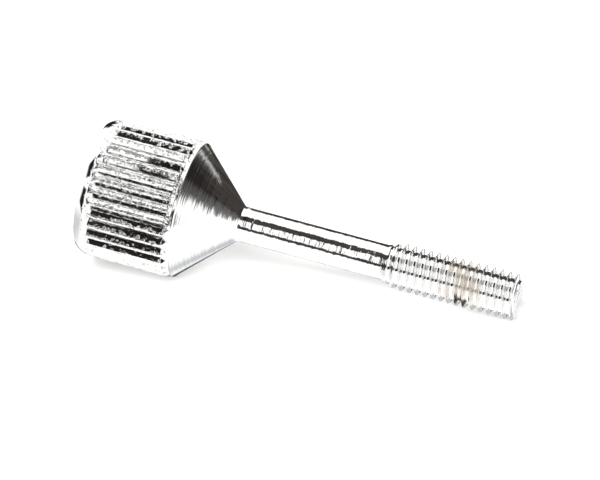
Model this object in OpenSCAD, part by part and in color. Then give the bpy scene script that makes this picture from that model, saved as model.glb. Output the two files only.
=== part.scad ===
// Captive thumb screw, turned from one bar: a straight-knurled head, a conical seat behind it,
// a slim shank and a short threaded end. It stands on the flat end of its head, with its axis along Z
// and the middle of that end at the origin.

/* [Head] */
// Diameter over the crests of the knurl
head_d = 12; // [10:0.1:14]
// Length of the knurled crests, with the rounded end
knurl_len = 8.05; // [6:0.05:10]
// Length of the rounding at the free end
crown_len = 1.3; // [0.8:0.05:1.8]
// How far the rounding draws in the end face, on the radius
crown_drop = 0.5; // [0.3:0.05:0.7]

/* [Knurl] */
// Number of ridges
ridge_count = 34; // [28:1:38]
// Share of the pitch that a groove takes at the crests
groove_share = 0.84; // [0.7:0.02:0.94]
// Angle between the flanks of a groove
groove_angle = 100; // [95:1:120]
// Length of the rounded end that the grooves leave plain
plain_end = 0.75; // [0.4:0.05:1]
// Length over which a groove deepens from there
run_in = 0.65; // [0.4:0.05:1]
// How far before the end of the crests it starts to rise again
rise_lead = 0.12; // [0.06:0.02:0.3]

/* [Rim] */
// Length from the last crest to the edge of the cone
rim_len = 0.6; // [0.5:0.05:0.9]
// Drop of the plain ring below the crests, on the radius
ring_drop = 0.13; // [0.12:0.01:0.2]
// Broken edge between the ring and the cone
rim_break = 0.08; // [0.04:0.01:0.12]

/* [Cone] */
// Angle between the cone and the axis of the screw
cone_angle = 43.5; // [35:0.5:50]
// Radius of the fillet between the cone and the shank
neck_r = 0.5; // [0.3:0.05:0.8]

/* [Shank] */
// Diameter of the slim shank
shank_d = 3; // [2.6:0.05:3.2]
// Length of the shank, from the cone to the flare
shank_len = 12.8; // [8:0.1:20]

/* [Threaded end] */
// Outside diameter of the thread
thread_d = 4; // [3.9:0.05:5]
// Length at the full outside diameter
thread_len = 10.2; // [6:0.1:16]
// Length of the flare from the shank to the thread
flare_len = 1.4; // [0.8:0.05:2]
// Chamfer at the tip
tip_chamfer = 0.22; // [0.1:0.02:0.4]

/* [Hidden] */
$fn = 96;

head_r = head_d / 2;
shank_r = shank_d / 2;
thread_r = thread_d / 2;
ring_r = head_r - ring_drop;

// Places along the axis
ring_z = knurl_len + rim_len / 2;
rim_z = knurl_len + rim_len;
cone_r = ring_r - rim_break;
neck_z = rim_z + (cone_r - shank_r) / tan(cone_angle);
flare_z = neck_z + shank_len;
thread_z = flare_z + flare_len;
chamfer_z = thread_z + thread_len;
tip_z = chamfer_z + tip_chamfer;

// The rounding is an arc that leaves the crests as a tangent, and the fillet meets cone and shank as one
crown_r = (crown_len * crown_len + crown_drop * crown_drop) / (2 * crown_drop);
neck_centre = [shank_r + neck_r, neck_z + neck_r * tan(cone_angle / 2)];

// A groove is a V between two crest edges. Its floor climbs out on to the rounding at one end,
// and at the other on to the middle of the ring past the last crest.
pitch_angle = 360 / ridge_count;
edge_angle = groove_share * pitch_angle / 2;
edge_y = head_r * sin(edge_angle);
edge_x = head_r * cos(edge_angle);
flank_slope = tan(groove_angle / 2);
root_r = edge_x - edge_y / flank_slope;
start_rise = max(crown_len - plain_end, 0);
start_r = head_r - crown_r + sqrt(crown_r * crown_r - start_rise * start_rise);
start_climb = atan((start_r - root_r) / run_in);
run_out = (ring_z + rim_z - rim_break) / 2 - knurl_len + rise_lead;
end_climb = atan((ring_r - root_r) / run_out);
over = 0.5;

// Half outline before the roundings are cut, from the axis out
module turned_outline() {
    polygon([
        [0, 0],
        [head_r, 0],
        [head_r, knurl_len],
        [ring_r, ring_z],
        [ring_r, rim_z - rim_break],
        [cone_r, rim_z],
        neck_centre - neck_r * [cos(cone_angle), sin(cone_angle)],
        neck_centre,
        [shank_r, neck_centre[1]],
        [shank_r, flare_z],
        [thread_r, thread_z],
        [thread_r, chamfer_z],
        [thread_r - tip_chamfer, tip_z],
        [0, tip_z]
    ]);
}

// What the rounding takes off the corner at the free end
module crown_waste() {
    difference() {
        translate([head_r - crown_drop, -over])
            square([crown_drop + over, crown_len + over]);
        translate([head_r - crown_r, crown_len])
            circle(crown_r);
    }
}

// What the hollow fillet takes off the corner between the cone and the shank
module neck_waste() {
    translate(neck_centre)
        circle(neck_r);
}

module turned_blank() {
    rotate_extrude()
        difference() {
            turned_outline();
            crown_waste();
            neck_waste();
        }
}

// V along the groove that opens outwards, with its floor at the root at height z and climbing from there
module vee(z, climb) {
    slope = flank_slope / cos(climb);
    translate([root_r, 0, z])
        rotate([0, climb, 0])
        linear_extrude(height = 4 * rim_z, center = true)
        polygon([
            [0, 0],
            [head_d, head_d * slope],
            [head_d, -head_d * slope]
        ]);
}

// One groove is what a level V shares with the two that climb out of the metal at its ends
module groove() {
    intersection() {
        vee(0, 0);
        vee(plain_end + run_in, -start_climb);
        vee(knurl_len - rise_lead, end_climb);
    }
}

module thumb_screw() {
    color("#d6d9db")
        difference() {
            turned_blank();
            for (i = [0 : ridge_count - 1])
                rotate([0, 0, (i + 0.5) * pitch_angle])
                groove();
        }
}

thumb_screw();
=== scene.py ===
import math

import bpy
import numpy as np
from mathutils import Matrix, Vector


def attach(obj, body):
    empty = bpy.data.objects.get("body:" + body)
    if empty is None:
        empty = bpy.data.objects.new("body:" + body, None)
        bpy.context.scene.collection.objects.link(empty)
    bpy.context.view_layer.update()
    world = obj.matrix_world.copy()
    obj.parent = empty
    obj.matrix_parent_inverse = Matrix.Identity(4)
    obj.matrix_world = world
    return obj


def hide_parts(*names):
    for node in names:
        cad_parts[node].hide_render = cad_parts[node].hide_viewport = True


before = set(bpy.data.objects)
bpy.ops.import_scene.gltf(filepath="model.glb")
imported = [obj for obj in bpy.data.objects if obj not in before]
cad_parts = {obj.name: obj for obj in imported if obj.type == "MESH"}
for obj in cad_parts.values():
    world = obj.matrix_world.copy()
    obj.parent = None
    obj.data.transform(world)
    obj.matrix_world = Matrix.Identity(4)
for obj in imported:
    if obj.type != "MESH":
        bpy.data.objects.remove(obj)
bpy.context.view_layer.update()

bl_info = {
    "name": "Knurled captive thumb screw",
    "version": (1, 0, 0),
    "blender": (4, 5, 0),
    "location": "3D View > Sidebar > Thumb screw",
    "description": "Builds a chrome-plated thumb screw with a knurled head and a rolled thread, on a white stage",
    "category": "Object",
}

MM = 0.001


def linear(code):
    """Turns an sRGB hex colour into linear red, green and blue, with full alpha."""
    values = [int(code[i:i + 2], 16) / 255 for i in (1, 3, 5)]
    return tuple(v / 12.92 if v <= 0.04045 else ((v + 0.055) / 1.055) ** 2.4 for v in values) + (1.0,)


def length(name, description, mm):
    """A length in metres, from its size in millimetres."""
    return bpy.props.FloatProperty(name=name, description=description, default=mm * MM, min=0.0,
                                   precision=5, unit="LENGTH")


def colour(name, description, code):
    """A colour that a user can change, from its sRGB hex value."""
    return bpy.props.FloatVectorProperty(name=name, description=description, default=linear(code),
                                         size=4, min=0.0, max=1.0, subtype="COLOR")


class ScrewSizes(bpy.types.PropertyGroup):
    """Sizes of the turned, knurled and threaded form."""

    head_d: length("Head diameter", "Diameter over the crests of the knurl", 12.0)
    knurl_len: length("Knurl length", "Length of the knurled crests, with the rounded end", 8.05)
    crown_len: length("Crown length", "Length of the rounding at the free end", 1.3)
    crown_drop: length("Crown drop", "How far the rounding draws in the end face, on the radius", 0.5)
    ridge_count: bpy.props.IntProperty(name="Ridges", description="Number of ridges of the knurl", default=34, min=8)
    groove_share: bpy.props.FloatProperty(name="Groove share", description="Share of the pitch that a groove takes",
                                          default=0.84, min=0.5, max=0.95, subtype="FACTOR")
    groove_angle: bpy.props.FloatProperty(name="Groove angle", description="Angle between the flanks of a groove",
                                          default=math.radians(100), subtype="ANGLE")
    plain_end: length("Plain end", "Length of the rounded end that the grooves leave plain", 0.75)
    run_in: length("Run-in", "Length over which a groove deepens from there", 0.65)
    rise_lead: length("Rise lead", "How far before the end of the crests a groove starts to rise again", 0.12)
    rim_len: length("Rim length", "Length from the last crest to the edge of the cone", 0.6)
    ring_drop: length("Ring drop", "Drop of the plain ring below the crests, on the radius", 0.13)
    rim_break: length("Rim break", "Broken edge between the ring and the cone", 0.08)
    cone_angle: bpy.props.FloatProperty(name="Cone angle", description="Angle between the cone and the axis",
                                        default=math.radians(43.5), subtype="ANGLE")
    neck_r: length("Neck fillet", "Radius of the fillet between the cone and the shank", 0.5)
    shank_d: length("Shank diameter", "Diameter of the slim shank", 3.0)
    shank_len: length("Shank length", "Length of the shank, from the cone to the flare", 12.8)
    thread_d: length("Thread diameter", "Outside diameter of the thread", 4.0)
    thread_root_d: length("Thread root", "Diameter at the bottom of the thread", 3.18)
    thread_pitch: length("Thread pitch", "Rise of the thread in one turn", 0.7)
    thread_len: length("Thread length", "Length at the full outside diameter", 10.2)
    flare_len: length("Flare length", "Length of the flare from the shank to the thread", 1.4)
    tip_chamfer: length("Tip chamfer", "Chamfer at the tip", 0.22)
    ragged: length("Ragged crests", "Depth of the pits and lumps along the crests of the knurl", 0.06)


class PlatingLook(bpy.types.PropertyGroup):
    """Colours and gloss of the plated surface."""

    plating: colour("Plating", "Bright chrome plating", "#f2f2f1")
    grime: colour("Grime", "Brownish film in the pits of the knurl", "#6a6058")
    stain: colour("Stain", "Thin yellowish film on the thread", "#cdb78f")
    rust: colour("Rust", "Dark brown spot on the thread", "#4b3d30")
    gloss: bpy.props.FloatProperty(name="Roughness", description="Roughness of the clean plating", default=0.07,
                                   min=0.0, max=1.0, subtype="FACTOR")
    turned: bpy.props.FloatProperty(name="Turned roughness", description="Roughness of the turned cone",
                                    default=0.16, min=0.0, max=1.0, subtype="FACTOR")


class StageLook(bpy.types.PropertyGroup):
    """Floor, card, flags and surrounding light."""

    floor: colour("Floor", "Pale floor and card", "#f6f5f4")
    tent: colour("Light tent", "White walls round the screw", "#ffffff")
    shade: colour("Half shade", "Ground past the tip and behind the head", "#a6a9ae")
    room: colour("Dark room", "Gaps between the white walls, and the flag at the head", "#1d1a18")
    cloth: colour("Brown cloth", "Flags round the shank and the thread", "#403b38")
    softbox: bpy.props.FloatProperty(name="Softbox", description="Power of the front softbox", default=0.54,
                                     min=0.0, unit="POWER")
    brightness: bpy.props.FloatProperty(name="Brightness", description="Strength of the white walls", default=1.3,
                                        min=0.0)


def lumps(points, size, seed=0):
    """Smooth noise from 0 to 1 at points in millimetres, with lumps of about the given size."""
    q = points / size + 37.0 * seed
    cell = np.floor(q).astype(np.int64)
    f = q - cell
    f = f * f * (3 - 2 * f)
    total = np.zeros(len(points))
    for corner in np.ndindex(2, 2, 2):
        k = cell + np.array(corner)
        h = (k[:, 0] * 73856093) ^ (k[:, 1] * 19349663) ^ (k[:, 2] * 83492791) ^ (seed * 2654435)
        h = ((h ^ (h >> 13)) * 1274126177) & 0x7FFFFFFF
        h = ((h ^ (h >> 15)) & 0xFFFF) / 65535.0
        total += h * np.prod(np.where(np.array(corner) == 1, f, 1 - f), axis=1)
    return total


def around(count):
    """Evenly spaced angles of one full turn."""
    return np.arange(count) * (2 * math.pi / count)


def ring(angles, radius, z):
    """Points of a ring, from its angles, radius and height."""
    n = len(angles)
    return np.column_stack([np.broadcast_to(radius, n) * np.cos(angles), np.broadcast_to(radius, n) * np.sin(angles),
                            np.broadcast_to(z, n)])


class Skin:
    """A closed skin that grows ring by ring."""

    def __init__(self):
        self.points = []
        self.faces = []

    def add(self, points):
        """Keeps points and returns their numbers."""
        first = len(self.points)
        self.points.extend(map(tuple, points))
        return np.arange(first, first + len(points))

    def band(self, low, high):
        """Joins two rings of equal count by quads."""
        a, b = np.roll(low, -1), np.roll(high, -1)
        self.faces.extend(map(tuple, np.column_stack([low, a, b, high]).tolist()))

    def blend(self, low, low_angles, high, high_angles):
        """Joins two rings of unequal count by triangles, in the order of their angles."""
        i = j = 0
        n, m = len(low), len(high)
        while i < n or j < m:
            next_low = low_angles[i + 1] if i + 1 < n else 2 * math.pi + low_angles[0] if i < n else 9e9
            next_high = high_angles[j + 1] if j + 1 < m else 2 * math.pi + high_angles[0] if j < m else 9e9
            if next_low <= next_high:
                self.faces.append((int(low[i % n]), int(low[(i + 1) % n]), int(high[j % m])))
                i += 1
            else:
                self.faces.append((int(low[i % n]), int(high[(j + 1) % m]), int(high[j % m])))
                j += 1

    def cap(self, edge, z, up):
        """Closes a ring by a flat face, as two inner rings and a fan round the middle."""
        outer = np.array([self.points[k] for k in edge])
        rings = [edge]
        for share in (0.94, 0.5):
            inner = outer * (share, share, 0) + (0, 0, z)
            rings.append(self.add(inner))
        middle = int(self.add([(0, 0, z)])[0])
        for a, b in zip(rings, rings[1:]):
            self.band(*((a, b) if up else (b, a)))
        last = rings[-1].tolist()
        for a, b in zip(last, last[1:] + last[:1]):
            self.faces.append((a, b, middle) if up else (b, a, middle))


# Samples across half a ridge: first in the groove, as shares of the way from its floor to its edge,
# then on the crest, as shares of the way from that edge to the middle of the ridge
GROOVE_SHARES = (0.0, 0.04, 0.1, 0.78, 0.86, 0.94)
CREST_SHARES = (0.0, 0.45, 1.0)
# Roundings of a groove, in millimetres: of its floor, of its edges, and where its floor starts to climb at either end
FLOOR_ROUND = 0.02
EDGE_ROUND = 0.014
RUN_IN_ROUND = 0.2
RUN_OUT_ROUND = 0.06
# Spacing of the rings along the knurl, in millimetres
KNURL_STEP = 0.1


def knurled_head(skin, s):
    """Adds the crown, the knurl with its run-ins and run-outs, and the plain ring. Returns the last ring."""
    head_r = s["head_d"] / 2
    ring_r = head_r - s["ring_drop"]
    ring_z = s["knurl_len"] + s["rim_len"] / 2
    rim_z = s["knurl_len"] + s["rim_len"]
    pitch = 2 * math.pi / s["ridge_count"]
    half = s["groove_angle"] / 2
    slope = math.tan(half)
    edge = s["groove_share"] * pitch / 2
    root_r = head_r * math.cos(edge) - head_r * math.sin(edge) / slope
    crown_r = (s["crown_len"] ** 2 + s["crown_drop"] ** 2) / (2 * s["crown_drop"])
    start_z = s["plain_end"] + s["run_in"]
    start_rise = max(s["crown_len"] - s["plain_end"], 0)
    start_r = head_r - crown_r + math.sqrt(crown_r ** 2 - start_rise ** 2)
    start_climb = (start_r - root_r) / s["run_in"]
    end_z = s["knurl_len"] - s["rise_lead"]
    run_out = (ring_z + rim_z - s["rim_break"]) / 2 - end_z
    end_climb = (ring_r - root_r) / run_out

    def blank(z):
        if z < s["crown_len"]:
            return head_r - crown_r + math.sqrt(crown_r ** 2 - (s["crown_len"] - z) ** 2)
        if z <= s["knurl_len"]:
            return head_r
        return max(ring_r, head_r - s["ring_drop"] * (z - s["knurl_len"]) / (ring_z - s["knurl_len"]))

    def ramp(x, round_off):
        return max(x, 0.0) if abs(x) >= round_off else (x + round_off) ** 2 / (4 * round_off)

    heights = np.concatenate([
        s["crown_len"] * (1 - np.cos(np.linspace(0.0, 1.0, 6) * 0.94)) * 1.1,
        np.linspace(s["plain_end"] * 0.75, start_z, 12),
        np.arange(start_z + KNURL_STEP, end_z - KNURL_STEP / 2, KNURL_STEP),
        np.linspace(end_z, ring_z, 9),
        np.linspace(ring_z, rim_z - s["rim_break"], 6)[1:],
    ])
    heights = np.unique(np.round(heights, 4))
    last = None
    for z in heights:
        r = blank(z)
        rise = ramp(start_z - z, RUN_IN_ROUND) * start_climb + ramp(z - end_z, RUN_OUT_ROUND) * end_climb
        root = root_r + rise
        ratio = min(root * math.sin(half) / r, math.sin(half))
        open_angle = math.acos(ratio) - (math.pi / 2 - half)
        cut = open_angle > 1e-4
        wide = max(open_angle, 0.2 * edge)
        offsets, radii, weights = [], [], []
        floors = [1.0] + [0.0] * (len(GROOVE_SHARES) + len(CREST_SHARES) - 1)
        for share in GROOVE_SHARES:
            d = share * wide
            vee = root * slope / (slope * math.cos(d) - math.sin(d))
            if share == 0.0:
                vee += FLOOR_ROUND
            offsets.append(d)
            radii.append(min(r, vee) if cut else r)
            weights.append(0.35 if share > 0.9 else 0.0)
        for share in CREST_SHARES:
            offsets.append(wide + share * (pitch / 2 - wide))
            radii.append(r - (EDGE_ROUND if share == 0.0 and cut else 0.0))
            weights.append(1.0)
        offsets = np.array(offsets[::-1][:-1] + offsets) * np.array([-1] * (len(offsets) - 1) + [1] * len(offsets))
        radii = np.array(radii[::-1][:-1] + radii)
        weights = np.array(weights[::-1][:-1] + weights)
        offsets, radii, weights = offsets[1:], radii[1:], weights[1:]
        centres = (np.arange(s["ridge_count"]) + 0.5) * pitch
        angles = (centres[:, None] + offsets[None, :]).ravel()
        radii = np.tile(radii, s["ridge_count"])
        weights = np.tile(weights, s["ridge_count"])
        fade = min(max((z - s["plain_end"]) / 0.5, 0.0), max((ring_z - z) / 0.4, 0.0), 1.0)
        # Pits of about 0.3 mm eat into the crests, the floors rise in lumps, and crests and flanks sway a little
        p = ring(angles, radii, z)
        pits = np.clip(lumps(p * (1, 1, 0.7), 0.34, 1) - 0.45, 0, 1) * 1.9 + 0.3 * lumps(p, 0.3, 2)
        sway = lumps(p * (1, 1, 0.6), 0.5, 3) - 0.5
        floor = np.tile(np.array(floors[::-1][:-1] + floors)[1:], s["ridge_count"])
        radii = radii - fade * s["ragged"] * (weights * pits - floor * lumps(p, 0.24, 4))
        drift = lumps(p * (1, 1, 0.4), 0.8, 5) - 0.5
        angles = angles + fade * s["ragged"] * (weights * 0.9 * sway + (1 - weights) * 0.35 * drift) / head_r
        now = skin.add(ring(angles, np.minimum(radii, head_r), z))
        if last is None:
            skin.cap(now, 0.0, False)
        else:
            skin.band(last, now)
        last, last_angles = now, angles
    return last, last_angles


def turned_neck(skin, s, below, below_angles, count=168):
    """Adds the rim, the cone, the fillet and the shank. Returns the last ring."""
    ring_r = s["head_d"] / 2 - s["ring_drop"]
    cone_r = ring_r - s["rim_break"]
    shank_r = s["shank_d"] / 2
    rim_z = s["knurl_len"] + s["rim_len"]
    neck_z = rim_z + (cone_r - shank_r) / math.tan(s["cone_angle"])
    centre_r = shank_r + s["neck_r"]
    centre_z = neck_z + s["neck_r"] * math.tan(s["cone_angle"] / 2)
    # First the broken edge of the rim, slightly rounded
    outline = [(ring_r, rim_z - s["rim_break"] * 0.75), (ring_r - 0.02, rim_z - 0.035), (cone_r - 0.005, rim_z),
               (cone_r - 0.05, rim_z + 0.045)]
    tangent_r = centre_r - s["neck_r"] * math.cos(s["cone_angle"])
    tangent_z = centre_z - s["neck_r"] * math.sin(s["cone_angle"])
    for share in np.linspace(0.05, 0.97, 22):
        outline.append((cone_r + share * (tangent_r - cone_r), rim_z + share * (tangent_z - rim_z)))
    for turn in np.linspace(s["cone_angle"], 0.0, 8):
        outline.append((centre_r - s["neck_r"] * math.cos(turn), centre_z - s["neck_r"] * math.sin(turn)))
    for z in np.linspace(centre_z, neck_z + s["shank_len"], 30)[1:-1]:
        outline.append((shank_r, z))
    angles = around(count)
    last = None
    order = np.argsort(np.mod(below_angles, 2 * math.pi))
    for r, z in outline:
        now = skin.add(ring(angles, r, z))
        if last is None:
            skin.blend(below[order], np.mod(below_angles, 2 * math.pi)[order], now, angles)
        else:
            skin.band(last, now)
        last = now
    return last, angles


# Thread form over one turn: shares of the pitch from the middle of a crest, and depth as a share of the full depth
THREAD_FORM = ((0.0, 0.0), (0.02, 0.01), (0.04, 0.05), (0.07, 0.14), (0.13, 0.41), (0.2, 0.72), (0.26, 0.9),
               (0.31, 0.97), (0.36, 0.992), (0.5, 1.0), (0.64, 0.992), (0.69, 0.97), (0.74, 0.9), (0.8, 0.72),
               (0.87, 0.41), (0.93, 0.14), (0.96, 0.05), (0.98, 0.01))
# A crest of the thread is seen at this angle and height, in degrees and millimetres
THREAD_PHASE = (179.5, 37.32)


def rolled_thread(skin, s, below, below_angles, count=108):
    """Adds the flare, the helical thread that fades in on it, the chamfered tip and its end face."""
    shank_r = s["shank_d"] / 2
    thread_r = s["thread_d"] / 2
    depth = thread_r - s["thread_root_d"] / 2
    cone_r = s["head_d"] / 2 - s["ring_drop"] - s["rim_break"]
    neck_z = s["knurl_len"] + s["rim_len"] + (cone_r - shank_r) / math.tan(s["cone_angle"])
    flare_z = neck_z + s["shank_len"]
    thread_z = flare_z + s["flare_len"]
    chamfer_z = thread_z + s["thread_len"]
    tip_z = chamfer_z + s["tip_chamfer"]
    pitch = s["thread_pitch"]
    angles = around(count)
    start = THREAD_PHASE[1] - pitch * THREAD_PHASE[0] / 360
    first = math.floor((flare_z - start) / pitch) - 2
    turns = math.ceil((tip_z - start) / pitch) + 1 - first
    places = np.array([k for k, _ in THREAD_FORM])
    depths = np.array([d for _, d in THREAD_FORM])
    per_turn = len(places)
    crest_z = start + pitch * (first + np.arange(turns)[:, None] + places[None, :]).ravel()
    cut = np.tile(depths, turns)
    rows = len(crest_z)

    def blank(z):
        share = np.clip((z - flare_z) / s["flare_len"], 0, 1)
        flare = shank_r + (thread_r - shank_r) * share
        return np.minimum(flare, thread_r - np.clip(z - chamfer_z, 0, None))

    numbers = np.zeros((rows, count + 1), int)
    low, high = {}, {}
    for j, angle in enumerate(angles):
        z = crest_z + pitch * angle / (2 * math.pi)
        inside = np.clip(z, flare_z, tip_z)
        wanted = np.where(z <= flare_z, 0, cut * depth)
        r = np.minimum(blank(inside), thread_r - wanted)
        r = np.maximum(r, np.minimum(blank(inside), shank_r))
        for k in range(rows):
            if z[k] <= flare_z:
                if j not in low:
                    low[j] = int(skin.add(ring([angle], shank_r, flare_z))[0])
                numbers[k, j] = low[j]
            elif z[k] >= tip_z:
                if j not in high:
                    share = (tip_z - z[k - 1]) / (z[k] - z[k - 1])
                    worn = (cut[k - 1] + share * (cut[k] - cut[k - 1])) * depth
                    end_r = min(thread_r - s["tip_chamfer"], thread_r - worn)
                    high[j] = int(skin.add(ring([angle], end_r, tip_z))[0])
                numbers[k, j] = high[j]
            else:
                numbers[k, j] = int(skin.add(ring([angle], r[k], z[k]))[0])
    numbers[:-per_turn, count] = numbers[per_turn:, 0]
    numbers[-per_turn:, count] = high[0]
    for k in range(rows - 1):
        for j in range(count):
            corners = [numbers[k, j], numbers[k, j + 1], numbers[k + 1, j + 1], numbers[k + 1, j]]
            kept = [int(c) for i, c in enumerate(corners) if c != corners[i - 1]]
            if len(kept) >= 3 and len(set(kept)) == len(kept):
                skin.faces.append(tuple(kept))
    skin.blend(below, below_angles, np.array([low[j] for j in range(count)]), angles)
    skin.cap(np.array([high[j] for j in range(count)]), tip_z, True)


def in_millimetres(sizes):
    """The sizes as plain numbers, with lengths in millimetres."""
    plain = {}
    for name, prop in sizes.bl_rna.properties.items():
        if prop.type in {"FLOAT", "INT"}:
            plain[name] = getattr(sizes, name) / (MM if prop.unit == "LENGTH" else 1)
    plain["ridge_count"] = int(plain["ridge_count"])
    return plain


def add(tree, kind, inputs=None, **settings):
    """Adds a node with its settings, links or sets its inputs, and returns it."""
    node = tree.nodes.new(kind)
    for name, value in settings.items():
        setattr(node, name, value)
    for key, value in (inputs or {}).items():
        if isinstance(value, bpy.types.NodeSocket):
            tree.links.new(value, node.inputs[key])
        else:
            node.inputs[key].default_value = value
    return node


def new_tree(name):
    """A new material with an empty node tree."""
    material = bpy.data.materials.new(name)
    material.use_nodes = True
    material.node_tree.nodes.clear()
    return material, material.node_tree


# Where the knurl, the cone and the thread begin and end along the axis, with soft edges, in millimetres
ZONES = (("knurl", 0.9, 1.4, 8.0, 8.4), ("cone", 8.25, 8.6, 13.1, 13.5), ("thread", 26.2, 27.2, 37.6, 37.8))
# Directions from the axis to the ridge that came out clean, and to the side of the cone that has chatter
CLEAN_RIDGE = (0.924, -0.383, 0.0)
CHATTER_SIDE = (-0.216, -0.976, 0.0)
# Middle and half length of the stained part of the thread, and middle of the rust spot, in millimetres
FILM_Z, FILM_REACH = 33.1, 1.5
RUST_SPOT = (1.75, -0.96, 33.25)
# Depths of the turning rings, of the waves along with them and of the chatter, in metres
RING_DEPTHS = (0.00002, 0.00004, 0.0001)


def chrome_plating(look):
    """Bright chrome over turned steel: a near mirror, dull with fine rings where the cone was turned, pitted and
    filmed with brown where the knurl was rolled, and stained yellow with one rust spot on the thread."""
    material, tree = new_tree("chrome_plating_over_turned_steel")
    place = add(tree, "ShaderNodeTexCoord").outputs["Object"]
    mm = add(tree, "ShaderNodeVectorMath", {0: place, "Scale": 1000.0}, operation="SCALE").outputs[0]
    split = add(tree, "ShaderNodeSeparateXYZ", {0: mm})
    z = split.outputs["Z"]
    flat = add(tree, "ShaderNodeVectorMath", {0: mm, 1: (1, 1, 0)}, operation="MULTIPLY").outputs[0]
    radius = add(tree, "ShaderNodeVectorMath", {0: flat}, operation="LENGTH").outputs["Value"]

    zones = {}
    for name, a, b, c, d in ZONES:
        rise = add(tree, "ShaderNodeMapRange", {"Value": z, "From Min": a, "From Max": b})
        fall = add(tree, "ShaderNodeMapRange", {"Value": z, "From Min": c, "From Max": d, "To Min": 1.0,
                                                "To Max": 0.0})
        zones[name] = add(tree, "ShaderNodeMath", {0: rise.outputs[0], 1: fall.outputs[0]},
                          operation="MULTIPLY").outputs[0]

    # Pits of about 0.4 mm along the crests of the rolled knurl
    pit_noise = add(tree, "ShaderNodeTexNoise", {"Vector": mm, "Scale": 2.4, "Detail": 3.0, "Roughness": 0.6})
    pits = add(tree, "ShaderNodeMapRange", {"Value": pit_noise.outputs[0], "From Min": 0.5, "From Max": 0.68},
               interpolation_type="SMOOTHSTEP").outputs[0]
    crest = add(tree, "ShaderNodeMapRange", {"Value": radius, "From Min": 5.68, "From Max": 5.9}).outputs[0]
    knurl_crest = add(tree, "ShaderNodeMath", {0: crest, 1: zones["knurl"]}, operation="MULTIPLY").outputs[0]
    knurl_pits = add(tree, "ShaderNodeMath", {0: pits, 1: knurl_crest}, operation="MULTIPLY").outputs[0]
    # Lumps of plating of nearly that size, more of them towards the crests
    lump_noise = add(tree, "ShaderNodeTexNoise", {"Vector": mm, "Scale": 2.9, "Detail": 2.0, "Roughness": 0.55})
    reach = add(tree, "ShaderNodeMapRange", {"Value": radius, "From Min": 5.5, "From Max": 5.95, "To Min": -0.24,
                                             "To Max": 0.03})
    lump_level = add(tree, "ShaderNodeMath", {0: lump_noise.outputs[0], 1: reach.outputs[0]}, operation="ADD")
    lump = add(tree, "ShaderNodeMapRange", {"Value": lump_level.outputs[0], "From Min": 0.5, "From Max": 0.66},
               interpolation_type="SMOOTHSTEP").outputs[0]
    knurl_lumps = add(tree, "ShaderNodeMath", {0: lump, 1: zones["knurl"]}, operation="MULTIPLY").outputs[0]
    # One ridge came out clean
    outward = add(tree, "ShaderNodeVectorMath", {0: flat}, operation="NORMALIZE").outputs[0]
    facing = add(tree, "ShaderNodeVectorMath", {0: outward, 1: CLEAN_RIDGE}, operation="DOT_PRODUCT")
    lumpy = add(tree, "ShaderNodeMapRange", {"Value": facing.outputs["Value"], "From Min": 0.975, "From Max": 0.988,
                                             "To Min": 1.0, "To Max": 0.15})
    knurl_lumps = add(tree, "ShaderNodeMath", {0: knurl_lumps, 1: lumpy.outputs[0]}, operation="MULTIPLY").outputs[0]

    # Turning rings: the feed of about 0.05 mm is drawn at about 0.12 mm, as it would not show in the render,
    # and wider waves of the tool, about 0.45 mm apart, run along with it
    rings = []
    for stretch in ((0.12, 0.12, 8.0), (0.06, 0.06, 2.2)):
        ring_place = add(tree, "ShaderNodeVectorMath", {0: mm, 1: stretch}, operation="MULTIPLY").outputs[0]
        ring_noise = add(tree, "ShaderNodeTexNoise", {"Vector": ring_place, "Scale": 1.0, "Detail": 2.0,
                                                      "Roughness": 0.6})
        rings.append(add(tree, "ShaderNodeMath", {0: ring_noise.outputs[0], 1: zones["cone"]},
                         operation="MULTIPLY").outputs[0])

    # Chatter of the tool, in waves about 0.7 mm apart on one side of the cone
    wave_place = add(tree, "ShaderNodeVectorMath", {0: mm, 1: (0.06, 0.06, 1.4)}, operation="MULTIPLY").outputs[0]
    waves = add(tree, "ShaderNodeTexNoise", {"Vector": wave_place, "Scale": 1.0, "Detail": 2.0, "Roughness": 0.6})
    waves = add(tree, "ShaderNodeMath", {0: waves.outputs[0], 1: zones["cone"]}, operation="MULTIPLY").outputs[0]
    facing = add(tree, "ShaderNodeVectorMath", {0: outward, 1: CHATTER_SIDE}, operation="DOT_PRODUCT")
    patch = add(tree, "ShaderNodeMapRange", {"Value": facing.outputs["Value"], "From Min": 0.92, "From Max": 0.985},
                interpolation_type="SMOOTHSTEP").outputs[0]
    rings.append(add(tree, "ShaderNodeMath", {0: waves, 1: patch}, operation="MULTIPLY").outputs[0])

    # The cone bulges by a hair between its rim and its neck
    middle = add(tree, "ShaderNodeMath", {0: z, 1: 11.0}, operation="SUBTRACT").outputs[0]
    fall_away = add(tree, "ShaderNodeMath", {0: middle, 1: middle}, operation="MULTIPLY").outputs[0]
    bulge = add(tree, "ShaderNodeMath", {0: fall_away, 1: -0.026}, operation="MULTIPLY").outputs[0]
    cone_only = add(tree, "ShaderNodeMapRange", {"Value": z, "From Min": 8.55, "From Max": 8.6}).outputs[0]
    neck_side = add(tree, "ShaderNodeMath", {0: z, 1: 13.0}, operation="LESS_THAN").outputs[0]
    cone_only = add(tree, "ShaderNodeMath", {0: cone_only, 1: neck_side}, operation="MULTIPLY").outputs[0]

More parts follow.
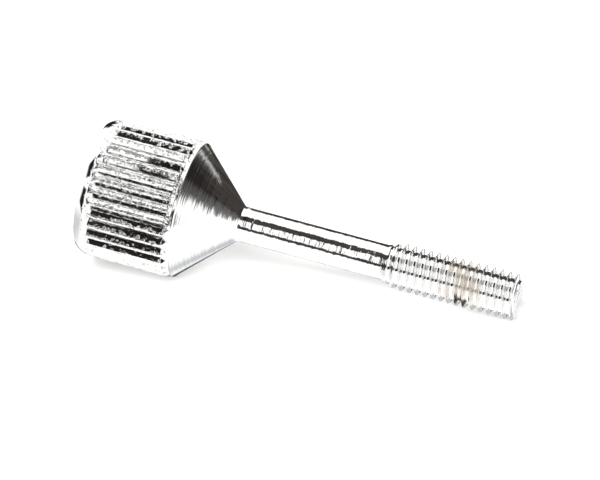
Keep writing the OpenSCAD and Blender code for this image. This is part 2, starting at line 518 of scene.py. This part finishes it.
    # Nicks and slow waves round the shank, about 0.7 mm apart, and faintly on the thread
    nick_place = add(tree, "ShaderNodeVectorMath", {0: mm, 1: (0.4, 0.4, 1.4)}, operation="MULTIPLY").outputs[0]
    nicks = add(tree, "ShaderNodeTexNoise", {"Vector": nick_place, "Scale": 1.0, "Detail": 3.0, "Roughness": 0.55})
    slim = add(tree, "ShaderNodeMapRange", {"Value": z, "From Min": 13.3, "From Max": 13.8})
    shank = add(tree, "ShaderNodeMath", {0: zones["thread"], 1: -0.96, 2: slim.outputs[0]}, operation="MULTIPLY_ADD")
    slim_nicks = add(tree, "ShaderNodeMath", {0: nicks.outputs[0], 1: shank.outputs[0]},
                     operation="MULTIPLY").outputs[0]

    # Yellowish film in patches on part of the thread, and a rust spot on one side of it
    film_noise = add(tree, "ShaderNodeTexNoise", {"Vector": mm, "Scale": 0.9, "Detail": 3.0})
    film_zone = add(tree, "ShaderNodeMath", {0: z, 1: FILM_Z, 2: FILM_REACH}, operation="COMPARE")
    film_edge = add(tree, "ShaderNodeMapRange", {"Value": film_noise.outputs[0], "From Min": 0.38, "From Max": 0.6})
    film = add(tree, "ShaderNodeMath", {0: film_zone.outputs[0], 1: film_edge.outputs[0]}, operation="MULTIPLY")
    spot_reach = add(tree, "ShaderNodeVectorMath", {0: mm, 1: RUST_SPOT}, operation="DISTANCE")
    spot_ragged = add(tree, "ShaderNodeMath", {0: pit_noise.outputs[0], 1: 0.7, 2: spot_reach.outputs["Value"]},
                      operation="MULTIPLY_ADD")
    spot = add(tree, "ShaderNodeMapRange", {"Value": spot_ragged.outputs[0], "From Min": 0.85, "From Max": 1.1,
                                            "To Min": 1.0, "To Max": 0.0}).outputs[0]

    # Grime along the floors of the grooves, broken in places
    floor = add(tree, "ShaderNodeMapRange", {"Value": radius, "From Min": 5.61, "From Max": 5.69, "To Min": 1.0,
                                             "To Max": 0.0}).outputs[0]
    held = add(tree, "ShaderNodeMapRange", {"Value": pit_noise.outputs[0], "From Min": 0.36, "From Max": 0.56})
    floor = add(tree, "ShaderNodeMath", {0: floor, 1: held.outputs[0]}, operation="MULTIPLY").outputs[0]
    floor = add(tree, "ShaderNodeMath", {0: floor, 1: zones["knurl"]}, operation="MULTIPLY").outputs[0]
    dirt = add(tree, "ShaderNodeMath", {0: floor, 1: knurl_pits}, operation="MAXIMUM").outputs[0]
    grimy = add(tree, "ShaderNodeMath", {0: dirt, 1: 0.5}, operation="MULTIPLY").outputs[0]
    filmed = add(tree, "ShaderNodeMath", {0: film.outputs[0], 1: 0.32}, operation="MULTIPLY").outputs[0]
    tone = add(tree, "ShaderNodeMix", {0: grimy, 6: tuple(look.plating), 7: tuple(look.grime)}, data_type="RGBA")
    tone = add(tree, "ShaderNodeMix", {0: filmed, 6: tone.outputs[2], 7: tuple(look.stain)}, data_type="RGBA")
    tone = add(tree, "ShaderNodeMix", {0: spot, 6: tone.outputs[2], 7: tuple(look.rust)}, data_type="RGBA")

    rough = add(tree, "ShaderNodeMapRange", {"Value": zones["cone"], "To Min": look.gloss, "To Max": look.turned})
    rough = add(tree, "ShaderNodeMath", {0: knurl_pits, 1: 0.16, 2: rough.outputs[0]}, operation="MULTIPLY_ADD")
    rough = add(tree, "ShaderNodeMath", {0: spot, 1: 0.35, 2: rough.outputs[0]}, operation="MULTIPLY_ADD")
    rough = add(tree, "ShaderNodeMath", {0: film.outputs[0], 1: 0.2, 2: rough.outputs[0]}, operation="MULTIPLY_ADD")

    bump = add(tree, "ShaderNodeBump", {"Strength": cone_only, "Distance": 0.001, "Height": bulge})
    bump = add(tree, "ShaderNodeBump", {"Strength": 1.0, "Distance": 0.0001, "Height": slim_nicks,
                                        "Normal": bump.outputs[0]})
    for rings_height, depth in zip(rings, RING_DEPTHS):
        bump = add(tree, "ShaderNodeBump", {"Strength": 1.0, "Distance": depth, "Height": rings_height,
                                            "Normal": bump.outputs[0]})
    bump = add(tree, "ShaderNodeBump", {"Strength": 0.3, "Distance": 0.00002, "Height": knurl_pits,
                                        "Normal": bump.outputs[0]}, invert=True)
    bump = add(tree, "ShaderNodeBump", {"Strength": 1.0, "Distance": 0.000022, "Height": knurl_lumps,
                                        "Normal": bump.outputs[0]})
    shader = add(tree, "ShaderNodeBsdfPrincipled", {"Base Color": tone.outputs[2], "Metallic": 1.0,
                                                    "Roughness": rough.outputs[0], "Normal": bump.outputs[0]})
    add(tree, "ShaderNodeOutputMaterial", {"Surface": shader.outputs[0]})
    return material


def white_card(name, look, glow):
    """Matt white card that shows only its front: from behind, it lets the view through."""
    material, tree = new_tree(name)
    matt = add(tree, "ShaderNodeBsdfDiffuse", {"Color": tuple(look.floor)})
    lit = add(tree, "ShaderNodeEmission", {"Color": tuple(look.floor), "Strength": glow})
    front = add(tree, "ShaderNodeAddShader", {0: matt.outputs[0], 1: lit.outputs[0]})
    clear = add(tree, "ShaderNodeBsdfTransparent")
    back = add(tree, "ShaderNodeNewGeometry").outputs["Backfacing"]
    shown = add(tree, "ShaderNodeMixShader", {0: back, 1: front.outputs[0], 2: clear.outputs[0]})
    add(tree, "ShaderNodeOutputMaterial", {"Surface": shown.outputs[0]})
    return material


def dark_cloth(name, shade):
    """Dark cloth that the chrome mirrors, lit by a painted glow as bright as it looks under light from all round, with
    painted light and shade where it is folded.
    """
    material, tree = new_tree(name)
    place = add(tree, "ShaderNodeTexCoord").outputs["Object"]
    # Painted light and shade of cloth folded about 0.7 mm wide across the axis of the screw: the glow rises and falls,
    # which shows as streaks on the cone of the screw
    folded = add(tree, "ShaderNodeVectorMath", {0: place, 1: (200, 200, 1400)}, operation="MULTIPLY").outputs[0]
    painted_fold_light_and_shade = add(tree, "ShaderNodeTexNoise", {"Vector": folded, "Scale": 1.0, "Detail": 3.0})
    lit = add(tree, "ShaderNodeMapRange", {"Value": painted_fold_light_and_shade.outputs[0], "From Min": 0.3, "From Max": 0.7, "To Min": 0.4,
                                           "To Max": 1.8})
    # The painted glow stands in for the light that would fall on the cloth
    cloth = add(tree, "ShaderNodeEmission", {"Color": tuple(shade), "Strength": lit.outputs[0]})
    add(tree, "ShaderNodeOutputMaterial", {"Surface": cloth.outputs[0]})
    return material


# Directions of the light tent: azimuth round the axis of the screw, in degrees from the side that is up in the
# picture towards the camera, and the part along the axis, from -1 behind the head to 1 past the tip
DARK_GAPS = (
    (6, 38, -0.45, -0.04),
    (79, 97, -0.45, 0.18),
    (36, 79, -0.5, -0.31),
    (-118, -72, -0.55, -0.31),
    (5, 48, -0.92, -0.62),
    (72, 120, -0.92, -0.62),
    (-138, -112, -0.45, 0.1),
    (-111, -94, -0.1, 0.2),
)
# Azimuth and half width, in degrees, of the thin bright slit past the tip and of the light shade under the screw
SLIT = (-71.5, 1.6)
UNDERSIDE = (-143, 18)
# Turn of the picture's frame about the axis of the screw
PICTURE_UP = math.radians(209.87)
PICTURE_TURN = Matrix.Rotation(PICTURE_UP, 3, "Z")
# Corners of the dark flags, in millimetres towards the top of the picture, towards the camera and along the axis
HEAD_FLAG = [(x, 18.0, z) for x, z in (
    (2.9, -3.2), (7.0, -3.2), (7.0, 1.4), (10.6, 1.4), (10.6, -3.2), (14.5, -3.2), (14.5, 6.2), (2.9, 6.2),
    (2.9, 4.0), (1.8, 4.0), (1.8, 1.0), (2.9, 1.0))]
SHANK_FLAG = [(-4.7, -11.0, 10.6), (7.5, -11.0, 10.6), (7.5, -11.0, 24.0), (-4.7, -11.0, 24.0)]
THREAD_FLAG = [(3.9, -11.0, 24.0), (17.5, -11.0, 24.0), (17.5, -11.0, 41.0), (3.9, -11.0, 41.0)]
UPPER_FLAG = [(12.0, 2.1, 10.4), (12.0, 10.3, 10.4), (12.0, 10.3, 23.9), (12.0, 2.1, 23.9)]
FRONT_FLAG = [(2.8, 14.0, 10.4), (-1.0, 14.0, 10.4), (-1.0, 14.0, 23.7), (2.8, 14.0, 23.7)]


def light_tent(look):
    """White walls all round with dark gaps between them, which the chrome mirrors. The camera sees only white."""
    world = bpy.data.worlds.new("light_tent")
    world.cycles_visibility.diffuse = False
    world.use_nodes = True
    tree = world.node_tree
    tree.nodes.clear()
    way = add(tree, "ShaderNodeTexCoord").outputs["Generated"]
    turned = add(tree, "ShaderNodeVectorRotate", {"Vector": way, "Angle": -PICTURE_UP}, rotation_type="Z_AXIS")
    split = add(tree, "ShaderNodeSeparateXYZ", {0: turned.outputs[0]})
    along = split.outputs["Z"]
    azimuth = add(tree, "ShaderNodeMath", {0: split.outputs["Y"], 1: split.outputs["X"]},
                  operation="ARCTAN2").outputs[0]
    dark = 0.0
    for a, b, low, high in DARK_GAPS:
        mask = 1.0
        for value, x0, x1, up in ((azimuth, math.radians(a - 2), math.radians(a + 2), True),
                                  (azimuth, math.radians(b - 2), math.radians(b + 2), False),
                                  (along, low - 0.03, low + 0.03, True), (along, high - 0.08, high + 0.08, False)):
            step = add(tree, "ShaderNodeMapRange", {"Value": value, "From Min": x0, "From Max": x1,
                                                    "To Min": 0.0 if up else 1.0, "To Max": 1.0 if up else 0.0},
                       interpolation_type="SMOOTHSTEP").outputs[0]
            mask = add(tree, "ShaderNodeMath", {0: mask, 1: step}, operation="MULTIPLY").outputs[0]
        dark = add(tree, "ShaderNodeMath", {0: dark, 1: mask}, operation="MAXIMUM").outputs[0]
    # Past the tip, the side that is up in the picture is dark
    past = add(tree, "ShaderNodeMath", {0: split.outputs["Y"], 1: -0.3, 2: along}, operation="MULTIPLY_ADD").outputs[0]
    past = add(tree, "ShaderNodeMapRange", {"Value": past, "From Min": 0.36, "From Max": 0.46},
               interpolation_type="SMOOTHSTEP").outputs[0]
    slant = add(tree, "ShaderNodeMath", {0: split.outputs["Y"], 1: -3.83, 2: split.outputs["X"]},
                operation="MULTIPLY_ADD").outputs[0]
    upper = add(tree, "ShaderNodeMapRange", {"Value": slant, "From Min": -0.55, "From Max": -0.25},
                interpolation_type="SMOOTHSTEP").outputs[0]
    above = add(tree, "ShaderNodeMapRange", {"Value": split.outputs["X"], "From Min": -0.1, "From Max": 0.0},
                interpolation_type="SMOOTHSTEP").outputs[0]
    pole = add(tree, "ShaderNodeMath", {0: past, 1: upper}, operation="MULTIPLY").outputs[0]
    pole = add(tree, "ShaderNodeMath", {0: pole, 1: above}, operation="MULTIPLY").outputs[0]
    # It is less dark towards the back, with a thin bright slit
    paler = add(tree, "ShaderNodeMapRange", {"Value": split.outputs["Y"], "From Min": -0.55, "From Max": -0.95,
                                             "To Min": 1.0, "To Max": 0.93}).outputs[0]
    pole = add(tree, "ShaderNodeMath", {0: pole, 1: paler}, operation="MULTIPLY").outputs[0]
    paler = add(tree, "ShaderNodeMapRange", {"Value": along, "From Min": 0.8, "From Max": 0.97,
                                             "To Min": 1.0, "To Max": 0.9}).outputs[0]
    pole = add(tree, "ShaderNodeMath", {0: pole, 1: paler}, operation="MULTIPLY").outputs[0]
    slit, under = (add(tree, "ShaderNodeMath", {0: azimuth, 1: math.radians(middle), 2: math.radians(reach)},
                       operation="COMPARE").outputs[0] for middle, reach in (SLIT, UNDERSIDE))
    pole = add(tree, "ShaderNodeMath", {0: pole, 1: slit}, operation="SUBTRACT", use_clamp=True).outputs[0]
    dark = add(tree, "ShaderNodeMath", {0: dark, 1: pole}, operation="MAXIMUM").outputs[0]
    # The side that is down in the picture lies in half shade past the tip and behind the head
    down = add(tree, "ShaderNodeMapRange", {"Value": split.outputs["X"], "From Min": -0.2, "From Max": -0.6},
               interpolation_type="SMOOTHSTEP").outputs[0]
    far = add(tree, "ShaderNodeMapRange", {"Value": split.outputs["Y"], "From Min": 0.0, "From Max": -0.35},
              interpolation_type="SMOOTHSTEP").outputs[0]
    ahead = add(tree, "ShaderNodeMapRange", {"Value": along, "From Min": 0.05, "From Max": 0.3},
                interpolation_type="SMOOTHSTEP").outputs[0]
    behind = add(tree, "ShaderNodeMapRange", {"Value": along, "From Min": -0.35, "From Max": -0.75, "To Max": 0.75},
                 interpolation_type="SMOOTHSTEP").outputs[0]
    shade = add(tree, "ShaderNodeMath", {0: far, 1: ahead}, operation="MULTIPLY").outputs[0]
    shade = add(tree, "ShaderNodeMath", {0: shade, 1: 0.7}, operation="MULTIPLY").outputs[0]
    shade = add(tree, "ShaderNodeMath", {0: shade, 1: behind}, operation="MAXIMUM").outputs[0]
    shade = add(tree, "ShaderNodeMath", {0: shade, 1: down}, operation="MULTIPLY").outputs[0]
    shade = add(tree, "ShaderNodeMath", {0: under, 1: 0.18, 2: shade}, operation="MULTIPLY_ADD",
                use_clamp=True).outputs[0]
    ground = add(tree, "ShaderNodeMix", {0: shade, 6: tuple(look.tent), 7: tuple(look.shade)}, data_type="RGBA")
    mirrored = add(tree, "ShaderNodeMix", {0: dark, 6: ground.outputs[2], 7: tuple(look.room)}, data_type="RGBA")
    seen = add(tree, "ShaderNodeLightPath").outputs["Is Camera Ray"]
    shown = add(tree, "ShaderNodeMix", {0: seen, 6: mirrored.outputs[2], 7: tuple(look.tent)}, data_type="RGBA")
    light = add(tree, "ShaderNodeBackground", {"Color": shown.outputs[2], "Strength": look.brightness})
    add(tree, "ShaderNodeOutputWorld", {"Surface": light.outputs[0]})
    return world


# Way that the card faces, the point under the tip that it passes through, and its corners from there, in millimetres
CARD_OUT = Vector((-0.85943, -0.493596, -0.133199))
CARD_FOOT = Vector((1.734315, 0.996068, 37.57))
CARD_CORNERS = ((-50, -60), (45, -60), (45, 20), (-50, 20))
# Corners of the floor, in millimetres
FLOOR_CORNERS = ((-600, -600), (600, -600), (600, 600), (-600, 600))
# Softboxes: azimuth as for the light tent, height in metres and share of the power, then their size and distance
SOFTBOXES = (("softbox_front", 46, -0.012, 1.0), ("softbox_back", -48, 0.019, 0.42))
SOFTBOX_SIZE = (0.118, 0.2)
SOFTBOX_REACH = 0.14
# Camera: its place in millimetres, the way it looks, the top of its picture and its focal length in millimetres
CAMERA_PLACE = Vector((-3.863389, -446.184271, 108.085))
CAMERA_AHEAD = Vector((0.008597, 0.980371, -0.196974))
CAMERA_TOP = Vector((-0.966285, -0.042547, -0.253934))
FOCAL_LENGTH = 322.7


def flat_card(name, corners, material, mirrored=False):
    """A flat sheet of the stage, seen by the camera alone, or by the chrome alone if it is to be mirrored."""
    mesh = bpy.data.meshes.new(name)
    mesh.from_pydata(corners, [], [tuple(range(len(corners)))])
    mesh.materials.append(material)
    card = bpy.data.objects.new(name, mesh)
    bpy.context.scene.collection.objects.link(card)
    card.visible_camera = not mirrored
    card.visible_glossy = mirrored
    card.visible_diffuse = False
    card.visible_shadow = False
    return card


class SCREW_OT_thumb_screw(bpy.types.Operator):
    """Builds the plated screw: knurled head, cone, shank and thread in one closed skin"""

    bl_idname = "screw.thumb_screw"
    bl_label = "Build the thumb screw"

    def execute(self, context):
        s = in_millimetres(context.scene.screw_sizes)
        skin = Skin()
        last, angles = knurled_head(skin, s)
        last, angles = turned_neck(skin, s, last, angles)
        rolled_thread(skin, s, last, angles)
        mesh = bpy.data.meshes.new("plated_thumb_screw")
        mesh.from_pydata((np.array(skin.points) * MM).tolist(), [], skin.faces)
        mesh.shade_smooth()
        mesh.set_sharp_from_angle(angle=math.radians(38))
        if mesh.validate():
            raise RuntimeError("the skin of the screw has faulty faces")
        mesh.materials.append(chrome_plating(context.scene.plating_look))
        screw = bpy.data.objects.new("plated_thumb_screw", mesh)
        context.scene.collection.objects.link(screw)
        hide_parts("thumb_screw")
        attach(screw, "root")
        return {"FINISHED"}


class SCREW_OT_stage(bpy.types.Operator):
    """Builds the white floor, the card beside the screw, the flags, the softboxes, the light tent and the camera"""

    bl_idname = "screw.stage"
    bl_label = "Build the stage"

    def execute(self, context):
        look = context.scene.stage_look
        flat_card("floor", [Vector((x, y, 0)) * MM for x, y in FLOOR_CORNERS], white_card("white_floor", look, 1.1))
        # The card lies against the head and the tip, where the picture has the ground under the screw
        level = Vector((0, 0, 1)).cross(CARD_OUT).normalized()
        up = CARD_OUT.cross(level)
        corners = [(CARD_FOOT + level * a + up * b) * MM for a, b in CARD_CORNERS]
        flat_card("card", corners, white_card("white_card", look, 0.0))
        # A black flag near the head darkens what its ridges mirror, two brown ones behind the shank and the thread
        # draw their upper edge, and two more draw the bands along the shank. Only the chrome sees them.
        for name, shade, corners in (("head_flag", look.room, HEAD_FLAG), ("shank_flag", look.cloth, SHANK_FLAG),
                                     ("thread_flag", look.cloth, THREAD_FLAG), ("upper_flag", look.cloth, UPPER_FLAG),
                                     ("front_flag", look.cloth, FRONT_FLAG)):
            flat_card(name, [PICTURE_TURN @ Vector(c) * MM for c in corners], dark_cloth(f"{name}_cloth", shade),
                      mirrored=True)
        # Two long softboxes, above the camera and behind the screw, light the card, so that the shadows lie close
        # under the screw
        for name, turn, z, share in SOFTBOXES:
            box = bpy.data.lights.new(name, "AREA")
            box.shape = "RECTANGLE"
            box.size, box.size_y = SOFTBOX_SIZE
            box.energy = look.softbox * share
            lamp = bpy.data.objects.new(name, box)
            aim = PICTURE_TURN @ Vector((math.cos(math.radians(turn)), math.sin(math.radians(turn)), 0.0))
            lamp.matrix_world = Matrix.Translation(aim * SOFTBOX_REACH + Vector((0, 0, z))) @ Matrix(
                (Vector((0, 0, 1)).cross(aim), Vector((0, 0, 1)), aim)).transposed().to_4x4()
            lamp.visible_camera = False
            lamp.visible_glossy = False
            context.scene.collection.objects.link(lamp)
        context.scene.world = light_tent(look)
        context.scene.view_settings.view_transform = "Standard"
        context.scene.view_settings.look = "None"

        lens = bpy.data.cameras.new("camera")
        lens.sensor_width = 36.0
        lens.lens = FOCAL_LENGTH
        lens.clip_start, lens.clip_end = 0.01, 3.0
        camera = bpy.data.objects.new("camera", lens)
        ahead = CAMERA_AHEAD.normalized()
        side = ahead.cross(CAMERA_TOP).normalized()
        top = side.cross(ahead)
        turn = Matrix((side, top, -ahead)).transposed().to_4x4()
        camera.matrix_world = Matrix.Translation(CAMERA_PLACE * MM) @ turn
        context.scene.collection.objects.link(camera)
        context.scene.camera = camera
        return {"FINISHED"}


class SCREW_PT_panel(bpy.types.Panel):
    """Sizes, colours and build steps of the screw"""

    bl_idname = "SCREW_PT_panel"
    bl_label = "Thumb screw"
    bl_space_type = "VIEW_3D"
    bl_region_type = "UI"
    bl_category = "Thumb screw"

    def draw(self, context):
        for group in (context.scene.screw_sizes, context.scene.plating_look, context.scene.stage_look):
            box = self.layout.box()
            for name in group.__annotations__:
                box.prop(group, name)
        self.layout.operator(SCREW_OT_thumb_screw.bl_idname)
        self.layout.operator(SCREW_OT_stage.bl_idname)


CLASSES = (ScrewSizes, PlatingLook, StageLook, SCREW_OT_thumb_screw, SCREW_OT_stage, SCREW_PT_panel)


def register():
    for cls in CLASSES:
        bpy.utils.register_class(cls)
    bpy.types.Scene.screw_sizes = bpy.props.PointerProperty(type=ScrewSizes)
    bpy.types.Scene.plating_look = bpy.props.PointerProperty(type=PlatingLook)
    bpy.types.Scene.stage_look = bpy.props.PointerProperty(type=StageLook)


def unregister():
    del bpy.types.Scene.screw_sizes
    del bpy.types.Scene.plating_look
    del bpy.types.Scene.stage_look
    for cls in reversed(CLASSES):
        bpy.utils.unregister_class(cls)


def main():
    register()
    bpy.ops.screw.thumb_screw()
    bpy.ops.screw.stage()


if __name__ == "__main__":
    main()
